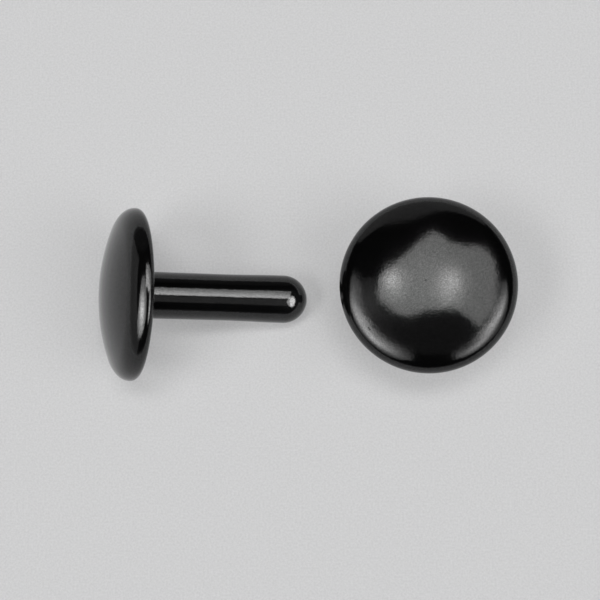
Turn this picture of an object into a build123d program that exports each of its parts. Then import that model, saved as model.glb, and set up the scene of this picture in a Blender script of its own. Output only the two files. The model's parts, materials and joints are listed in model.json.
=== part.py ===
from build123d import *
from math import asin, atan2, cos, degrees, hypot, radians, sin
import os

# Double cap rivet in two loose halves, lying as they come to rest on a table.
# The stud half rests on the rim of its cap and the tip of its post.
# The socket half stands on the mouth of its barrel. Lengths are in millimetres.

# Caps, the same on both halves
cap_diameter = 9.0
cap_height = 1.94
cap_sheet = 0.20
shoulder_radius = 0.88
lip_width = 0.95

# Post of the stud half
post_sheet = 0.30
post_length = 9.16
shank_diameter = 2.46
tip_diameter = 2.57
swell_length = 3.5

# Barrel of the socket half
barrel_sheet = 0.30
barrel_length = 5.0
barrel_clearance = 0.12
mouth_round = 0.10

# Flanges that the caps are folded over
draw_radius = 0.25
rim_clearance = 0.02

# Places of the two halves on the table
pair_spacing = 14.99
socket_shift = 0.23
stud_turn = 0.63


def fold_radius(flange_sheet):
    """Outer radius of a cap's folded edge: half the flange that it wraps, and the cap's own sheet."""
    return flange_sheet / 2 + cap_sheet


def dome_radius(flange_sheet):
    """Radius of the crown that is tangent to the shoulder and reaches the cap's height."""
    rise = cap_height - fold_radius(flange_sheet)
    cap_radius = cap_diameter / 2
    return (cap_radius**2 + rise**2 - 2 * cap_radius * shoulder_radius) / (2 * (rise - shoulder_radius))


def dome_edge(flange_sheet):
    """Angle from the axis at which the crown's arc meets the shoulder's."""
    return asin((cap_diameter / 2 - shoulder_radius) / (dome_radius(flange_sheet) - shoulder_radius))


def arc_point(centre, radius, angle):
    """Point of a circle in a section, at an angle from the axis."""
    return (centre[0] + radius * sin(angle), centre[1] + radius * cos(angle))


# A section is drawn with the radius along X and the height towards the crown along Y.
# Its height is zero at the back of the folded lip, where the cap bears on the material.
def draw_cap(flange_sheet):
    """Closed section of a cap: crown, shoulder, folded edge and lip, at one sheet thickness."""
    fold = fold_radius(flange_sheet)
    crown = dome_radius(flange_sheet)
    edge = dome_edge(flange_sheet)
    half = (edge + radians(90)) / 2
    crown_centre = (0, cap_height - crown)
    shoulder_centre = (cap_diameter / 2 - shoulder_radius, fold)
    fold_centre = (cap_diameter / 2 - fold, fold)
    lip_end = cap_diameter / 2 - lip_width
    inner_crown = crown - cap_sheet
    inner_shoulder = shoulder_radius - cap_sheet
    inner_fold = fold - cap_sheet

    ThreePointArc(
        (0, cap_height), arc_point(crown_centre, crown, edge / 2), arc_point(crown_centre, crown, edge)
    )
    ThreePointArc(
        arc_point(crown_centre, crown, edge),
        arc_point(shoulder_centre, shoulder_radius, half),
        (cap_diameter / 2, fold),
    )
    ThreePointArc(
        (cap_diameter / 2, fold), arc_point(fold_centre, fold, radians(135)), (fold_centre[0], 0)
    )
    Line((fold_centre[0], 0), (lip_end, 0))
    Line((lip_end, 0), (lip_end, cap_sheet))
    Line((lip_end, cap_sheet), (fold_centre[0], cap_sheet))
    ThreePointArc(
        (fold_centre[0], cap_sheet),
        arc_point(fold_centre, inner_fold, radians(135)),
        (cap_diameter / 2 - cap_sheet, fold),
    )
    ThreePointArc(
        (cap_diameter / 2 - cap_sheet, fold),
        arc_point(shoulder_centre, inner_shoulder, half),
        arc_point(crown_centre, inner_crown, edge),
    )
    ThreePointArc(
        arc_point(crown_centre, inner_crown, edge),
        arc_point(crown_centre, inner_crown, edge / 2),
        (0, cap_height - cap_sheet),
    )
    Line((0, cap_height - cap_sheet), (0, cap_height))


def draw_flange(tube_radius, sheet):
    """Flange of a drawn tube: from the tube's outer wall round the rim to its inner wall."""
    floor = cap_sheet
    middle = floor + sheet / 2
    rim_centre = cap_diameter / 2 - fold_radius(sheet) - rim_clearance
    bend = (tube_radius + draw_radius, floor - draw_radius)
    outer_bend = draw_radius + sheet
    ThreePointArc(
        (tube_radius, bend[1]), arc_point(bend, draw_radius, radians(-45)), (bend[0], floor)
    )
    Line((bend[0], floor), (rim_centre, floor))
    ThreePointArc((rim_centre, floor), (rim_centre + sheet / 2, middle), (rim_centre, floor + sheet))
    Line((rim_centre, floor + sheet), (bend[0], floor + sheet))
    ThreePointArc(
        (bend[0], floor + sheet), arc_point(bend, outer_bend, radians(-45)), (tube_radius - sheet, bend[1])
    )


# Stud half. It tips over until the post's round tip touches the table, so the tilt follows
# from the two rounds that touch: the folded edge of the cap and the ball of the tip.
stud_fold = fold_radius(post_sheet)
tip_radius = tip_diameter / 2
shank_radius = shank_diameter / 2
tip_centre = post_length - tip_radius
swell_start = tip_centre - swell_length
fold_reach = cap_diameter / 2 - stud_fold
arc_to_tip = tip_centre + stud_fold
stud_tilt = atan2(fold_reach, arc_to_tip) + asin((stud_fold - tip_radius) / hypot(arc_to_tip, fold_reach))

# Height of the centre of the lip's back face, with the folded edge on the table
stud_height = stud_fold + fold_reach * cos(stud_tilt) - stud_fold * sin(stud_tilt)

# The origin is under the middle of the pair, so the halves are placed by how far they reach.
stud_crown = dome_radius(post_sheet)
if stud_tilt < dome_edge(post_sheet):
    stud_reach = stud_crown + (cap_height - stud_crown) * cos(stud_tilt)
else:
    stud_reach = (
        (cap_diameter / 2 - shoulder_radius) * sin(stud_tilt)
        + stud_fold * cos(stud_tilt)
        + shoulder_radius
    )
pair_length = stud_reach + pair_spacing + cap_diameter / 2
stud_x = stud_reach - pair_length / 2
socket_x = stud_x + pair_spacing
stud_y = -socket_shift / 2
socket_y = socket_shift / 2

# The post points along +X and down. The section plane's Y axis is the way to the crown.
post_way = Vector(cos(stud_tilt), 0, -sin(stud_tilt)).rotate(Axis.Z, stud_turn)
stud_up = Vector(sin(stud_tilt), 0, cos(stud_tilt)).rotate(Axis.Z, stud_turn)
stud_origin = Vector(stud_x, stud_y, stud_height)
stud_section = Plane(origin=stud_origin, x_dir=stud_up, z_dir=stud_up.cross(-post_way))
stud_axis = Axis(stud_origin, post_way)

socket_origin = Vector(socket_x, socket_y, barrel_length)
socket_section = Plane(origin=socket_origin, x_dir=(1, 0, 0), z_dir=(0, -1, 0))
socket_axis = Axis(socket_origin, (0, 0, 1))

# Cap of the stud half, folded over the flange of the post
with BuildPart() as stud_cap:
    with BuildSketch(stud_section):
        with BuildLine():
            draw_cap(post_sheet)
        make_face()
    revolve(axis=stud_axis)

# Hollow post, drawn from sheet with a closed round tip that is a little wider than the shank
with BuildPart() as stud_post:
    with BuildSketch(stud_section):
        with BuildLine():
            draw_flange(shank_radius, post_sheet)
            for wall in (0, post_sheet):
                straight_end = (shank_radius - wall, -swell_start)
                swell_middle = ((shank_radius + tip_radius) / 2 - wall, -(swell_start + tip_centre) / 2)
                swell_end = (tip_radius - wall, -tip_centre)
                Line((shank_radius - wall, cap_sheet - draw_radius), straight_end)
                TangentArc(straight_end, swell_middle, tangent=(0, -1))
                TangentArc(swell_end, swell_middle, tangent=(0, 1))
                ThreePointArc(
                    swell_end,
                    arc_point((0, -tip_centre), tip_radius - wall, radians(135)),
                    (0, -tip_centre - tip_radius + wall),
                )
            Line((0, -post_length), (0, -post_length + post_sheet))
        make_face()
    revolve(axis=stud_axis)

# Cap of the socket half, folded over the flange of the barrel
with BuildPart() as socket_cap:
    with BuildSketch(socket_section):
        with BuildLine():
            draw_cap(barrel_sheet)
        make_face()
    revolve(axis=socket_axis)

# Open barrel that takes the post, with a rounded mouth. Its bore ends at the inside of the cap.
bore_radius = tip_radius + barrel_clearance
barrel_radius = bore_radius + barrel_sheet
mouth_top = -barrel_length + mouth_round
with BuildPart() as socket_barrel:
    with BuildSketch(socket_section):
        with BuildLine():
            draw_flange(barrel_radius, barrel_sheet)
            Line((barrel_radius, cap_sheet - draw_radius), (barrel_radius, mouth_top))
            RadiusArc((barrel_radius, mouth_top), (barrel_radius - mouth_round, -barrel_length), mouth_round)
            Line((barrel_radius - mouth_round, -barrel_length), (bore_radius + mouth_round, -barrel_length))
            RadiusArc((bore_radius + mouth_round, -barrel_length), (bore_radius, mouth_top), mouth_round)
            Line((bore_radius, mouth_top), (bore_radius, cap_sheet - draw_radius))
        make_face()
    revolve(axis=socket_axis)

# Tilt and places of the clamping faces, for reading off the mounts
print("stud tilt", round(degrees(stud_tilt), 3), "way of the post", post_way)
print("back of the stud cap", stud_origin, "back of the socket cap", socket_origin)

stud_cap.part.label = "stud_cap"
stud_post.part.label = "stud_post"
socket_cap.part.label = "socket_cap"
socket_barrel.part.label = "socket_barrel"

os.makedirs("parts", exist_ok=True)
export_step(stud_cap.part, "parts/stud_cap.step")
export_step(stud_post.part, "parts/stud_post.step")
export_step(socket_cap.part, "parts/socket_cap.step")
export_step(socket_barrel.part, "parts/socket_barrel.step")
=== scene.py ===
import json
import bpy
import numpy as np
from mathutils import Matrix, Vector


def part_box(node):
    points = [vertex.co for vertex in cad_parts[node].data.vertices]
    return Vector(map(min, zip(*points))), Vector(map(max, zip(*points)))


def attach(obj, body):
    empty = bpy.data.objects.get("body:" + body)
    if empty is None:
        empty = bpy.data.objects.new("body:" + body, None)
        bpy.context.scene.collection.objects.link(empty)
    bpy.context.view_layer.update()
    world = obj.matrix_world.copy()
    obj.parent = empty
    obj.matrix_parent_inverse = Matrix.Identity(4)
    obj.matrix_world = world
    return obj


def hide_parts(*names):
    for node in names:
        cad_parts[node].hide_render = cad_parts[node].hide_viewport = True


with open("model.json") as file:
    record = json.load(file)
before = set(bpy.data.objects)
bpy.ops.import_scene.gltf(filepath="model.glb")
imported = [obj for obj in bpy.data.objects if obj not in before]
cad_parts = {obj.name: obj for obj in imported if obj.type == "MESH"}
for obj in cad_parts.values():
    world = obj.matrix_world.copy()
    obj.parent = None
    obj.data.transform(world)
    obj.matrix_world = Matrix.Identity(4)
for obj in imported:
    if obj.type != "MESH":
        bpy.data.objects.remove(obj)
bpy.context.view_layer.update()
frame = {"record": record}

# Cap of the stud half.
# A disc of thin sheet, pressed to a low crown with a tight shoulder and plated glossy black. Its edge
# is folded under the flange of the post and holds it. It lies on the fold, tipped over by the post.
cap_low, cap_high = (np.array(corner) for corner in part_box("socket_cap"))
cap_radius = (cap_high[0] - cap_low[0]) / 2
cap_height = cap_high[2] - cap_low[2]
cap_sheet = 0.20e-3
flange_sheet = 0.30e-3
shoulder_radius = 0.88e-3
lip_width = 0.95e-3
cut_edge_radius = 0.03e-3
oval_width = 1.60e-3
oval_rise = 1.055e-3
oval_start = 20.69
fold_radius = flange_sheet / 2 + cap_sheet

# The centre of each cap's back, from the mounts, and the way that the post points
mounts = {mount["name"]: mount for mount in frame["record"]["mounts"]}
shank_mount = np.array(mounts["post_shank"]["pos_m"])
post_way = np.array(mounts["post_shank"]["axis"])
stud_face = np.array(mounts["stud_cap_back"]["pos_m"])
stud_back = shank_mount + post_way * np.dot(stud_face - shank_mount, post_way)
bore_mount = np.array(mounts["socket_bore"]["pos_m"])
socket_back = np.array((bore_mount[0], bore_mount[1], cap_low[2]))


def arc(centre, radius, start, end, count):
    """Points of a circle: the centre plus the radius times the sine and cosine of an angle in degrees."""
    angle = np.radians(np.linspace(start, end, count))
    return np.column_stack((centre[0] + radius * np.sin(angle), centre[1] + radius * np.cos(angle)))


def cap_outline():
    """Section of a cap as (radius, height), from the top of the crown round to its underside.

    Inside, the crown's arc is tangent to the shoulder's. Its radius is the squares of the cap's radius
    and of the rise, less twice the cap's radius times the shoulder's, over twice what the rise is more
    than the shoulder's radius. They meet where the sine of the angle is the cap's radius less the
    shoulder's, over the crown's less the shoulder's. Outside, the shoulder is a quarter of an oval:
    its width times a sine across, and its rise times a cosine up.
    """
    rise = cap_height - fold_radius
    crown = (cap_radius**2 + rise**2 - 2 * cap_radius * shoulder_radius) / (2 * (rise - shoulder_radius))
    meet = np.degrees(np.arcsin((cap_radius - shoulder_radius) / (crown - shoulder_radius)))
    crown_centre = (0, cap_height - crown)
    shoulder_centre = (cap_radius - shoulder_radius, fold_radius)
    start = np.arctan(oval_width / oval_rise * np.tan(np.radians(oval_start)))
    t = np.linspace(start, np.pi / 2, 90)[1:-1]
    oval = np.column_stack((
        cap_radius - oval_width + oval_width * np.sin(t), fold_radius + oval_rise * np.cos(t)
    ))
    fold_centre = (cap_radius - fold_radius, fold_radius)
    lip_end = cap_radius - lip_width
    cut = cut_edge_radius
    return np.vstack((
        arc(crown_centre, crown, 0, oval_start, 60),
        oval,
        arc(fold_centre, fold_radius, 90, 180, 20),
        arc((lip_end + cut, cut), cut, 180, 270, 5),
        arc((lip_end + cut, cap_sheet - cut), cut, 270, 360, 5),
        arc(fold_centre, fold_radius - cap_sheet, 180, 90, 8),
        arc(shoulder_centre, shoulder_radius - cap_sheet, 90, meet, 12)[1:],
        arc(crown_centre, crown - cap_sheet, meet, 0, 24)[1:],
    ))


def turned(name, outline, back, up, steps=288):
    """Mesh of a section carried round the axis that runs from back along up.

    Each point is back, plus its height along up, plus its radius times the cosine of the turn along
    across and times the sine along aside. An outline that starts and ends on the axis gets one point
    at each end. Any other is a closed ring.
    """
    up = up / np.linalg.norm(up)
    aside = np.cross(up, (1.0, 0.0, 0.0) if abs(up[0]) < 0.5 else (0.0, 0.0, 1.0))
    aside /= np.linalg.norm(aside)
    across = np.cross(aside, up)
    poles = outline[0, 0] < 1e-9
    rings = outline[1:-1] if poles else outline
    turn = np.linspace(0, 2 * np.pi, steps, endpoint=False)
    round_way = np.cos(turn)[:, None] * across + np.sin(turn)[:, None] * aside
    points = back + rings[:, None, :1] * round_way + rings[:, None, 1:] * up
    points = points.reshape(-1, 3)

    count = len(rings)
    row = np.arange(count - 1 if poles else count)[:, None]
    column = np.arange(steps)[None, :]
    next_row = (row + 1) % count
    next_column = (column + 1) % steps
    faces = np.stack((
        row * steps + column, next_row * steps + column,
        next_row * steps + next_column, row * steps + next_column,
    ), axis=-1).reshape(-1, 4).tolist()
    if poles:
        first = len(points)
        ends = back + outline[[0, -1], 1:] * up
        points = np.vstack((points, ends))
        last_ring = (count - 1) * steps
        here = np.arange(steps)
        there = (here + 1) % steps
        faces += np.stack((np.full(steps, first), here, there), axis=-1).tolist()
        faces += np.stack((last_ring + here, np.full(steps, first + 1), last_ring + there), axis=-1).tolist()

    mesh = bpy.data.meshes.new(name)
    mesh.from_pydata(points.tolist(), [], faces)
    mesh.polygons.foreach_set("use_smooth", np.ones(len(mesh.polygons), dtype=bool))
    mesh.update()
    piece = bpy.data.objects.new(name, mesh)
    bpy.context.collection.objects.link(piece)
    return piece


# The coat: sizes of its grain, ripple, patches and speckle, and what the speckle does
grain_size = 0.10e-3
grain_height = 2.5e-6
ripple_size = 0.55e-3
ripple_share = 1.5
patch_size = 1.4e-3
speckle_size = 0.055e-3
noise_low, noise_high = 0.3, 0.7
coat_ior = 1.45
coat_darkest = (0.0, 0.0, 0.0, 1)
coat_palest = (0.0017, 0.0017, 0.0018, 1)
shine_low, shine_high = 0.32, 0.68

# Small dull marks on the socket's cap, from the centre of its back: a nick in two parts and a speck
coat_marks = ((-3.03e-3, -2.27e-3, 1.231e-3), (-2.97e-3, -2.35e-3, 1.231e-3), (-0.20e-3, 0.0, 1.94e-3))
mark_core = 0.02e-3
mark_edge = 0.07e-3
mark_shine = 0.25


def coat_surface_group():
    """Node group for the plated black coat: fine grain and a slow ripple, as a height and a roughness.

    A finer speckle, about a twentieth of a millimetre, varies how dark and how shiny the coat is, and
    the coat is duller within the marks.
    """
    group = bpy.data.node_groups.new("coat_surface", "ShaderNodeTree")
    group.interface.new_socket("Grain size", in_out="INPUT", socket_type="NodeSocketFloat")
    group.interface.new_socket("Ripple share", in_out="INPUT", socket_type="NodeSocketFloat")
    group.interface.new_socket("Roughness low", in_out="INPUT", socket_type="NodeSocketFloat")
    group.interface.new_socket("Roughness high", in_out="INPUT", socket_type="NodeSocketFloat")
    group.interface.new_socket("Height", in_out="OUTPUT", socket_type="NodeSocketFloat")
    group.interface.new_socket("Roughness", in_out="OUTPUT", socket_type="NodeSocketFloat")
    group.interface.new_socket("Shade", in_out="OUTPUT", socket_type="NodeSocketColor")
    group.interface.new_socket("Shine", in_out="OUTPUT", socket_type="NodeSocketFloat")
    nodes, links = group.nodes, group.links
    given = nodes.new("NodeGroupInput")
    result = nodes.new("NodeGroupOutput")
    place = nodes.new("ShaderNodeTexCoord")
    scale = nodes.new("ShaderNodeMath")
    scale.operation = "DIVIDE"
    scale.inputs[0].default_value = 1.0
    grain = nodes.new("ShaderNodeTexNoise")
    grain.inputs["Detail"].default_value = 2.0
    ripple = nodes.new("ShaderNodeTexNoise")
    ripple.inputs["Scale"].default_value = 1 / ripple_size
    ripple.inputs["Detail"].default_value = 1.0
    height = nodes.new("ShaderNodeMath")
    height.operation = "MULTIPLY_ADD"
    patches = nodes.new("ShaderNodeTexNoise")
    patches.inputs["Scale"].default_value = 1 / patch_size
    patches.inputs["Detail"].default_value = 3.0
    rough = nodes.new("ShaderNodeMapRange")
    rough.inputs["From Min"].default_value = noise_low
    rough.inputs["From Max"].default_value = noise_high
    speckle = nodes.new("ShaderNodeTexNoise")
    speckle.inputs["Scale"].default_value = 1 / speckle_size
    speckle.inputs["Detail"].default_value = 1.0
    shade = nodes.new("ShaderNodeMix")
    shade.data_type = "RGBA"
    shade.inputs["A"].default_value = coat_darkest
    shade.inputs["B"].default_value = coat_palest
    speckle_shine = nodes.new("ShaderNodeMapRange")
    for socket, value in (
        ("From Min", noise_low), ("From Max", noise_high), ("To Min", shine_low), ("To Max", shine_high)
    ):
        speckle_shine.inputs[socket].default_value = value
    links.new(place.outputs["Object"], speckle.inputs["Vector"])
    links.new(speckle.outputs["Fac"], shade.inputs["Factor"])
    links.new(speckle.outputs["Fac"], speckle_shine.inputs["Value"])
    links.new(shade.outputs["Result"], result.inputs["Shade"])
    shine = speckle_shine.outputs["Result"]
    for mark in coat_marks:
        apart = nodes.new("ShaderNodeVectorMath")
        apart.operation = "DISTANCE"
        apart.inputs[1].default_value = socket_back + np.array(mark)
        links.new(place.outputs["Object"], apart.inputs[0])
        fade = nodes.new("ShaderNodeMapRange")
        for socket, value in (
            ("From Min", mark_core), ("From Max", mark_edge), ("To Min", mark_shine), ("To Max", 1.0)
        ):
            fade.inputs[socket].default_value = value
        links.new(apart.outputs["Value"], fade.inputs["Value"])
        dulled = nodes.new("ShaderNodeMath")
        dulled.operation = "MULTIPLY"
        links.new(shine, dulled.inputs[0])
        links.new(fade.outputs["Result"], dulled.inputs[1])
        shine = dulled.outputs[0]
    links.new(shine, result.inputs["Shine"])
    links.new(given.outputs["Grain size"], scale.inputs[1])
    links.new(place.outputs["Object"], grain.inputs["Vector"])
    links.new(scale.outputs[0], grain.inputs["Scale"])
    links.new(place.outputs["Object"], ripple.inputs["Vector"])
    links.new(place.outputs["Object"], patches.inputs["Vector"])
    links.new(ripple.outputs["Fac"], height.inputs[0])
    links.new(given.outputs["Ripple share"], height.inputs[1])
    links.new(grain.outputs["Fac"], height.inputs[2])
    links.new(patches.outputs["Fac"], rough.inputs["Value"])
    links.new(given.outputs["Roughness low"], rough.inputs["To Min"])
    links.new(given.outputs["Roughness high"], rough.inputs["To Max"])
    links.new(height.outputs[0], result.inputs["Height"])
    links.new(rough.outputs["Result"], result.inputs["Roughness"])
    return group


coat_surface = coat_surface_group()


def black_coat(name, roughest, smoothest):
    """Glossy black coat with the shared grain, between two roughnesses."""
    material = bpy.data.materials.new(name)
    material.use_nodes = True
    nodes, links = material.node_tree.nodes, material.node_tree.links
    shader = nodes["Principled BSDF"]
    shader.inputs["IOR"].default_value = coat_ior
    surface = nodes.new("ShaderNodeGroup")
    surface.node_tree = coat_surface
    surface.inputs["Grain size"].default_value = grain_size
    surface.inputs["Ripple share"].default_value = ripple_share
    surface.inputs["Roughness low"].default_value = smoothest
    surface.inputs["Roughness high"].default_value = roughest
    bump = nodes.new("ShaderNodeBump")
    bump.inputs["Distance"].default_value = grain_height
    links.new(surface.outputs["Shade"], shader.inputs["Base Color"])
    links.new(surface.outputs["Shine"], shader.inputs["Specular IOR Level"])
    links.new(surface.outputs["Height"], bump.inputs["Height"])
    links.new(surface.outputs["Roughness"], shader.inputs["Roughness"])
    links.new(bump.outputs["Normal"], shader.inputs["Normal"])
    return material


cap_coat = black_coat("cap_coat", roughest=0.12, smoothest=0.09)
stud_cap = turned("stud_cap_shell", cap_outline(), stud_back, -post_way)
stud_cap.data.materials.append(cap_coat)
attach(stud_cap, "root")
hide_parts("stud_cap")

# Post of the stud half.
# A tube drawn from sheet, closed at its tip by a half ball that is a little wider than the shank,
# with a flange at the other end. The cap's folded edge holds the flange.
shank_radius = mounts["post_shank"]["dims"]["r_mm"] / 1000
tip_radius = 1.285e-3
post_length = 9.16e-3
swell_length = 3.5e-3
draw_radius = 0.25e-3
rim_clearance = 0.02e-3


def flange_outline(tube_radius):
    """Section of a flange from the tube's inner wall, over the top, round the rim and back under."""
    rim_centre = cap_radius - fold_radius - rim_clearance
    bend = (tube_radius + draw_radius, cap_sheet - draw_radius)
    return np.vstack((
        arc(bend, draw_radius + flange_sheet, -90, 0, 16),
        arc((rim_centre, cap_sheet + flange_sheet / 2), flange_sheet / 2, 0, 180, 16),
        arc(bend, draw_radius, 0, -90, 12),
    ))


def swell(wall, count=24):
    """Wall of the post from the tip up to the shank: its radius narrows by half a cosine wave."""
    share = np.linspace(0, 1, count)
    radius = shank_radius + (tip_radius - shank_radius) * (1 + np.cos(np.pi * share)) / 2 - wall
    return np.column_stack((radius, -post_length + tip_radius + swell_length * share))


tip_centre = (0, -post_length + tip_radius)
post_outline = np.vstack((
    arc(tip_centre, tip_radius - flange_sheet, 180, 90, 24),
    swell(flange_sheet)[1:],
    flange_outline(shank_radius),
    swell(0)[::-1],
    arc(tip_centre, tip_radius, 90, 180, 48)[1:],
))
tube_coat = black_coat("tube_coat", roughest=0.11, smoothest=0.08)
stud_post = turned("stud_post_tube", post_outline, stud_back, -post_way)
stud_post.data.materials.append(tube_coat)
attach(stud_post, "root")
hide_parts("stud_post")

# Cap of the socket half.
# The same pressing as the stud's cap, with the same coat, folded over the flange of the barrel.
# It lies level, because the barrel stands upright on the table.
upright = np.array((0.0, 0.0, 1.0))
socket_cap = turned("socket_cap_shell", cap_outline(), socket_back, upright)
socket_cap.data.materials.append(cap_coat)
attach(socket_cap, "root")
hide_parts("socket_cap")

# Barrel of the socket half.
# An open tube drawn from sheet, with a rounded mouth that stands on the table. The flange at its
# other end is held in the cap.
bore_radius = mounts["socket_bore"]["dims"]["r_mm"] / 1000
barrel_radius = bore_radius + flange_sheet
barrel_length = cap_low[2]
mouth_round = 0.10e-3
mouth_centre = -barrel_length + mouth_round
barrel_outline = np.vstack((
    flange_outline(barrel_radius),
    arc((barrel_radius - mouth_round, mouth_centre), mouth_round, 90, 180, 8),
    arc((bore_radius + mouth_round, mouth_centre), mouth_round, 180, 270, 8),
))
socket_barrel = turned("socket_barrel_tube", barrel_outline, socket_back, upright)
socket_barrel.data.materials.append(tube_coat)
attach(socket_barrel, "root")
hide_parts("socket_barrel")

# Table top.
# A plain pale sheet with the faint tooth of matt board.
table_size = 6.0
tooth_size = 0.11e-3
tooth_depth = 1.2e-5
board_dark = (0.545, 0.545, 0.550, 1)
board_pale = (0.615, 0.615, 0.620, 1)
bpy.ops.mesh.primitive_plane_add(size=table_size, location=(0, 0, 0))
table = bpy.context.object
table.name = "table_top"
table_finish = bpy.data.materials.new("matt_board")
table_finish.use_nodes = True
nodes, links = table_finish.node_tree.nodes, table_finish.node_tree.links
board = nodes["Principled BSDF"]
board.inputs["Roughness"].default_value = 0.9
board.inputs["Specular IOR Level"].default_value = 0.2
place = nodes.new("ShaderNodeTexCoord")
tooth = nodes.new("ShaderNodeTexNoise")
tooth.inputs["Scale"].default_value = 1 / tooth_size
tooth.inputs["Detail"].default_value = 2.0
shade = nodes.new("ShaderNodeMapRange")
shade.inputs["From Min"].default_value = noise_low
shade.inputs["From Max"].default_value = noise_high
tint = nodes.new("ShaderNodeMix")
tint.data_type = "RGBA"
tint.inputs["A"].default_value = board_dark
tint.inputs["B"].default_value = board_pale
relief = nodes.new("ShaderNodeBump")
relief.inputs["Distance"].default_value = tooth_depth
links.new(place.outputs["Object"], tooth.inputs["Vector"])
links.new(tooth.outputs["Fac"], shade.inputs["Value"])
links.new(shade.outputs["Result"], tint.inputs["Factor"])
links.new(tint.outputs["Result"], board.inputs["Base Color"])
links.new(tooth.outputs["Fac"], relief.inputs["Height"])
links.new(relief.outputs["Normal"], board.inputs["Normal"])
table.data.materials.append(table_finish)

# Studio light.
# A diffuser cloth with two lamps behind it hangs overhead, with a soft box low at each side of the
# front. Each half has its own set, turned to suit the way it lies, and so has the table.
# Directions are (x, y) in degrees from straight up. A spot is its direction, its gain and its width.
near = 0.35
far = 2.5


def way_of(angles):
    """Unit vectors for points (x, y) in degrees from straight up: the zenith angle is their length."""
    angles = np.radians(np.atleast_2d(np.array(angles, dtype=float)))
    zenith = np.hypot(angles[:, 0], angles[:, 1])
    share = np.sinc(zenith / np.pi)
    return np.column_stack((angles[:, 0] * share, angles[:, 1] * share, np.cos(zenith)))


def turned_about_y(vectors, degrees):
    """Vectors turned about Y, so that straight up leans towards +X."""
    lean = np.radians(degrees)
    x = vectors[:, 0] * np.cos(lean) + vectors[:, 2] * np.sin(lean)
    z = vectors[:, 2] * np.cos(lean) - vectors[:, 0] * np.sin(lean)
    return np.column_stack((x, vectors[:, 1], z))


def soft_panel(
    name, lit, inner, outer, level, spots=(), centre=(0.0, 0.0, 0.0), lean=0.0, away=near, shaded_by=None
):
    """Glowing cloth at one distance from centre, between an inner and an outer line of directions.

    An inner line of one point closes the cloth round it. The strength is the level plus, for each
    spot, its gain times e to the power of minus the square of the distance over the spot's width.
    Only the pieces of shaded_by shade it, if that is given.
    """
    closed = len(inner) == 1
    outer_line = turned_about_y(way_of(outer), lean)
    inner_line = turned_about_y(way_of(inner * len(outer) if closed else inner), lean)
    count = len(outer)
    faces = [
        (edge, (edge + 1) % count, count + (edge + 1) % count, count + edge)
        for edge in range(count if closed else count - 1)
    ]
    mesh = bpy.data.meshes.new(name)
    mesh.from_pydata((np.array(centre) + away * np.vstack((outer_line, inner_line))).tolist(), [], faces)
    panel = bpy.data.objects.new(name, mesh)
    bpy.context.collection.objects.link(panel)

    material = bpy.data.materials.new(name + "_glow")
    material.use_nodes = True
    nodes, links = material.node_tree.nodes, material.node_tree.links
    nodes.clear()
    place = nodes.new("ShaderNodeTexCoord")
    glow = nodes.new("ShaderNodeEmission")
    out = nodes.new("ShaderNodeOutputMaterial")
    clear = nodes.new("ShaderNodeBsdfTransparent")
    both = nodes.new("ShaderNodeAddShader")
    links.new(glow.outputs[0], both.inputs[0])
    links.new(clear.outputs[0], both.inputs[1])
    links.new(both.outputs[0], out.inputs["Surface"])
    glow.inputs["Strength"].default_value = level
    total = None
    for angles, gain, width in spots:
        spot = np.array(centre) + away * turned_about_y(way_of(angles), lean)[0]
        distance = nodes.new("ShaderNodeVectorMath")
        distance.operation = "DISTANCE"
        distance.inputs[1].default_value = spot
        links.new(place.outputs["Object"], distance.inputs[0])
        share = nodes.new("ShaderNodeMath")
        share.operation = "DIVIDE"
        share.inputs[1].default_value = away * np.radians(width)
        links.new(distance.outputs["Value"], share.inputs[0])
        square = nodes.new("ShaderNodeMath")
        square.operation = "POWER"
        square.inputs[1].default_value = 2.0
        links.new(share.outputs[0], square.inputs[0])
        fall = nodes.new("ShaderNodeMath")
        fall.operation = "POWER"
        fall.inputs[0].default_value = np.exp(-1)
        links.new(square.outputs[0], fall.inputs[1])
        add = nodes.new("ShaderNodeMath")
        add.operation = "MULTIPLY_ADD"
        add.inputs[1].default_value = gain
        add.inputs[2].default_value = level
        links.new(fall.outputs[0], add.inputs[0])
        if total is not None:
            links.new(total.outputs[0], add.inputs[2])
        total = add
    if total is not None:
        links.new(total.outputs[0], glow.inputs["Strength"])
    mesh.materials.append(material)
    panel.light_linking.receiver_collection = lit
    if shaded_by is not None:
        panel.light_linking.blocker_collection = shaded_by
    panel.visible_camera = False


def lit_group(name, pieces):
    """Collection of the pieces that one set of lights falls on."""
    group = bpy.data.collections.new(name)
    for piece in pieces:
        group.objects.link(piece)
    return group


# The socket's set: the cloth, stray light in front of it, the two soft boxes and the wall behind
socket_lit = lit_group("socket_lit", (socket_cap, socket_barrel))
socket_set = {"centre": (6.5e-3, 0.0, 6.5e-3)}
soft_panel(
    "socket_overhead", socket_lit, [(7, 9)],
    [
        (4.5, 38.5), (9.5, 36), (15.5, 31.5), (24, 29.5), (33, 30), (38, 27), (41, 21.5),
        (43.2, 13.1), (43.3, 7.3), (42.8, 0.6), (40.4, -8), (35.6, -15), (31.7, -19.3), (28.9, -16),
        (23.2, -12.1), (19.4, -9.2), (13.6, -8.3), (6.9, -9.7), (-0.8, -9.7), (-4.7, -11.1), (-9.5, -13),
        (-13.4, -12.5), (-19.1, -10), (-23, -7.1), (-26.8, -3.7), (-28.7, 0.2), (-27.2, 6.4),
        (-25.8, 11.3), (-24.3, 15.6), (-20, 18), (-14.2, 22.3), (-8.5, 27.1), (-4.1, 31.4), (-0.3, 34.8),
    ],
    3.0,
    (
        ((-19.5, 9.3), 7.8, 5.5), ((-18, 2.5), 2.2, 7), ((15.6, 8.2), 6.4, 6.5), ((13.6, 0.4), 3.2, 7),
        ((-0.8, 9), 1.5, 22),
    ),
    **socket_set
)
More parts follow.
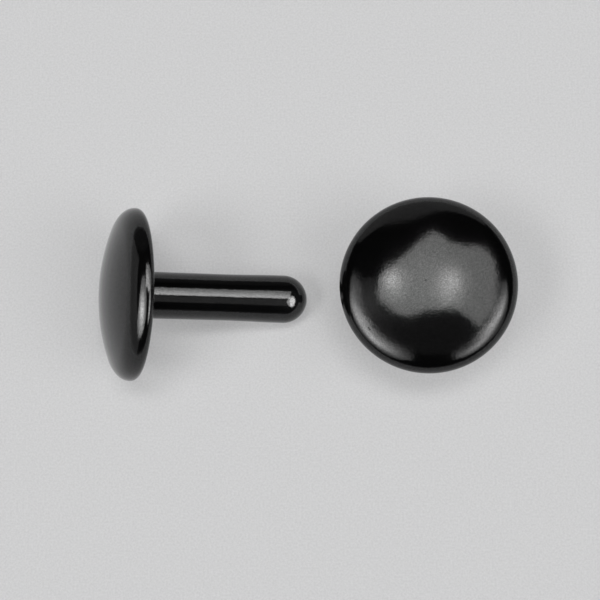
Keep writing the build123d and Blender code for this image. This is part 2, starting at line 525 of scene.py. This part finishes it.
soft_panel(
    "socket_veil", socket_lit,
    [(-27, 11), (-30, 0), (-25, -8), (-14, -14), (0, -12), (10, -11), (20, -13), (31, -21)],
    [(-40, 11), (-38.5, -2), (-33, -17), (-18, -30), (0, -36), (12, -36), (22, -32), (36, -19)],
    0.1, (((-34, -4), 0.5, 13),), **socket_set
)
soft_panel(
    "socket_front_left", socket_lit,
    [
        (-41, 14), (-39.2, 9.8), (-39, 3.8), (-38.3, -2), (-37.3, -7.8), (-35.2, -13.4), (-32, -18.5),
        (-27.6, -22.5), (-23.3, -26.4), (-18.5, -29.6), (-13.2, -32.1), (-7.7, -33.9),
    ],
    [
        (-51, 17), (-58, 12), (-63, 3.2), (-70, -7.5), (-75, -19.8), (-76, -33.4), (-72.5, -46),
        (-62.5, -54.8), (-52, -62.5), (-41.3, -69), (-27.2, -67.2), (-13, -57.6),
    ],
    0.5,
    (
        ((-46, -38), 8.3, 10), ((-54, -18), 8.3, 13), ((-33, -45), 3.8, 12), ((-46, 3), 1.3, 8),
        ((-38, -16), 3.6, 8), ((-28, -32), 2.6, 10),
    ),
    **socket_set
)
soft_panel(
    "socket_front_right", socket_lit,
    [
        (44, 9), (45, 4), (43, -3.2), (41, -9), (38.7, -14.5), (34.9, -19.2), (31.4, -24), (27.1, -28.2),
        (22, -31.5), (16.6, -34.4),
    ],
    [
        (58, 10), (63, 2.2), (71, -8.8), (76, -20.9), (77, -33.7), (70, -43.7), (60, -51.5), (49.4, -57),
        (39.4, -62.6), (26.4, -59.4),
    ],
    0.6,
    (
        ((52, -9), 5.0, 10), ((48, -20), 5.3, 10), ((46, -36), 4.3, 10), ((36, -46), 2.6, 11),
        ((37, -20), 3.6, 7),
    ),
    **socket_set
)
back_turn = np.arange(50, 141, 10)
back_way = np.column_stack((np.cos(np.radians(back_turn)), np.sin(np.radians(back_turn))))
back_top = np.array([[76], [68], [59], [53], [49], [47], [48], [51], [58], [70]])
back_foot = 89
soft_panel(
    "socket_back_wall", socket_lit, (back_way * back_top).tolist(), (back_way * back_foot).tolist(), 0.32,
    **socket_set
)

# The stud's set: the cloth, the two soft boxes, a dim strip that only the post shows, and a low wall
# at the left
stud_lit = lit_group("stud_lit", (stud_cap, stud_post))
stud_set = {"centre": (-6.0e-3, 0.0, 4.0e-3), "lean": 17.4, "shaded_by": stud_lit}
soft_panel(
    "stud_overhead", stud_lit, [(22, 10)],
    [
        (-8, 3), (-8, 12), (-7, 22), (-3, 31), (10, 32), (25, 31), (40, 28), (52, 22), (58, 10),
        (55, 3), (40, 1), (30, -1), (22, -5), (14, -3.5), (8, -1), (3, 2),
    ],
    2.5,
    (((0, 10), 6.0, 13), ((20, 8), 3.0, 10), ((8, 20), 1.5, 12), ((18, 0), 4.8, 7)),
    **stud_set
)
soft_panel(
    "stud_front_left", stud_lit, [(-28, -25)],
    [
        (-36, 14), (-24, 16), (-13, 14), (-9, 6), (-5, 2), (-2, -8), (0, -18), (2, -28), (1, -38),
        (-3, -47), (-9, -55), (-16, -60), (-28, -63), (-40, -61), (-50, -52), (-56, -40), (-56, -29),
        (-54, -20), (-51, -10), (-45, 2),
    ],
    2.4,
    (((-31, -24), 11.8, 16), ((-25, -42), 4.8, 15)),
    **stud_set
)
soft_panel(
    "stud_front_right", stud_lit, [(36, -18)],
    [
        (26, 2), (30, 8), (40, 7), (46, 4), (51, -4), (53, -18), (51, -30), (45, -40), (36, -45),
        (28, -43), (26, -30), (26, -12),
    ],
    3.0, (((42, -23), 5.5, 15),), **stud_set
)
post_lit = lit_group("post_lit", (stud_post,))
soft_panel(
    "post_front_strip", post_lit, [(20, -22)], [(6, -9), (34, -9), (34, -37), (6, -37)], 0.42, **stud_set
)
wall_turn = np.radians(np.arange(138, 251, 8))
wall_way = np.column_stack((np.cos(wall_turn), np.sin(wall_turn)))
wall_top, wall_foot = 51, 90
soft_panel(
    "stud_left_wall", stud_lit, (wall_way * wall_top).tolist(), (wall_way * wall_foot).tolist(), 0.36,
    (((-50, 16), 0.16, 15), ((-50, -16), 0.16, 15)), centre=stud_set["centre"], shaded_by=stud_lit
)

# Two lamps of the size of the tip's highlight, close above the tip and seen by the post alone.
# The small bright one hangs in front of the wide one, so that the highlight fades towards its edge.
# A lamp's power is π · brightness · width · depth.
tip_ball = stud_back + post_way * (post_length - tip_radius)
glint_way = way_of((36, -14.5))[0]
glint_side = np.cross((0.0, 1.0, 0.0), glint_way)
glint_side /= np.linalg.norm(glint_side)
glint_pose = np.eye(4)
glint_pose[:3, :3] = np.column_stack((glint_side, np.cross(glint_way, glint_side), glint_way))
for name, away, width, depth, brightness in (
    ("tip_glint_wide", 2.1e-3, 0.92e-3, 1.40e-3, 4.8), ("tip_glint_small", 2.0e-3, 0.62e-3, 0.95e-3, 6.8)
):
    glint_pose[:3, 3] = tip_ball + away * glint_way
    glint = bpy.data.lights.new(name, "AREA")
    glint.shape = "ELLIPSE"
    glint.size, glint.size_y = width, depth
    glint.energy = np.pi * brightness * width * depth
    glint_lamp = bpy.data.objects.new(name, glint)
    bpy.context.collection.objects.link(glint_lamp)
    glint_lamp.matrix_world = [list(row) for row in glint_pose.T]
    glint_lamp.light_linking.receiver_collection = post_lit
    glint_lamp.visible_camera = False

# The table's set: the cloth and both soft boxes from far off, and a low ring of pale walls
table_lit = lit_group("table_lit", (table,))
turn = np.radians(np.arange(0, 360, 15))
around = np.column_stack((np.cos(turn), np.sin(turn)))
closed_ring = np.vstack((around, around[:1]))
for name, middle, reach, level in (
    ("table_overhead", (2.4, 7.2), (15.1, 6.0), 9.4), ("table_left", (-28.4, -12.2), (8.2, 14.5), 5.7)
):
    soft_panel(name, table_lit, [middle], (middle + around * reach).tolist(), level, away=far)
soft_panel(
    "table_right", table_lit, [(38, -14)],
    [
        (9, -14), (13, -6), (20, -1), (30, 3), (42, 5), (57, 6), (60, -4), (60, -14), (57, -22),
        (50, -33), (40, -33), (30, -30), (20, -27), (13, -21),
    ],
    1.94, away=far
)
low_top, low_foot = 70, 89
soft_panel(
    "table_low", table_lit, (closed_ring * low_top).tolist(), (closed_ring * low_foot).tolist(), 3.8,
    away=far, shaded_by=table_lit
)

# Room round the table.
# It is dark above, with pale walls low down all round that reach a little higher at the back.
back_turned = np.radians(100)
world = bpy.data.worlds.new("studio_room")
bpy.context.scene.world = world
world.use_nodes = True
nodes, links = world.node_tree.nodes, world.node_tree.links
room = nodes["Background"]
sight = nodes.new("ShaderNodeTexCoord")
axes = nodes.new("ShaderNodeSeparateXYZ")
low_wall = nodes.new("ShaderNodeMapRange")
low_wall.interpolation_type = "SMOOTHSTEP"
for socket, value in (("From Min", 0.15), ("From Max", 0.00), ("To Min", 0.002), ("To Max", 0.20)):
    low_wall.inputs[socket].default_value = value
back_wall = nodes.new("ShaderNodeMapRange")
back_wall.interpolation_type = "SMOOTHSTEP"
for socket, value in (("From Min", 0.70), ("From Max", 0.83), ("To Min", 0.0), ("To Max", 0.07)):
    back_wall.inputs[socket].default_value = value
to_the_back = nodes.new("ShaderNodeVectorMath")
to_the_back.operation = "DOT_PRODUCT"
to_the_back.inputs[1].default_value = (np.cos(back_turned), np.sin(back_turned), 0.0)
brightest = nodes.new("ShaderNodeMath")
brightest.operation = "MAXIMUM"
links.new(sight.outputs["Generated"], axes.inputs[0])
links.new(axes.outputs["Z"], low_wall.inputs["Value"])
links.new(sight.outputs["Generated"], to_the_back.inputs[0])
links.new(to_the_back.outputs["Value"], back_wall.inputs["Value"])
links.new(low_wall.outputs["Result"], brightest.inputs[0])
links.new(back_wall.outputs["Result"], brightest.inputs[1])
links.new(brightest.outputs[0], room.inputs["Strength"])
room.inputs["Color"].default_value = (1, 1, 1, 1)

# Camera.
# It looks down almost upright, from a hand's breadth away, leaning to the front and the right.
# The photograph is 600 pixels wide, and its middle shows view_target on the table.
photo_width = 600
focal_pixels = 1310.23
pixels_per_metre = 18240.4
lean_right = 0.05382
lean_front = 0.13328
view_target = np.array((-0.2866e-3, 0.0903e-3, 0.0))
camera_data = bpy.data.cameras.new("camera")
camera_data.lens = camera_data.sensor_width * focal_pixels / photo_width
camera_data.clip_start = 0.001
camera = bpy.data.objects.new("camera", camera_data)
bpy.context.collection.objects.link(camera)
backwards = np.array((np.sin(lean_right), -np.sin(lean_front), 1.0))
backwards /= np.linalg.norm(backwards)
rightwards = np.cross((0.0, 1.0, 0.0), backwards)
rightwards /= np.linalg.norm(rightwards)
upwards = np.cross(backwards, rightwards)
pose = np.eye(4)
pose[:3, :3] = np.column_stack((rightwards, upwards, backwards))
pose[:3, 3] = view_target + backwards * focal_pixels / pixels_per_metre
camera.matrix_world = [list(row) for row in pose.T]
bpy.context.scene.camera = camera

bpy.context.scene.view_settings.view_transform = "Standard"
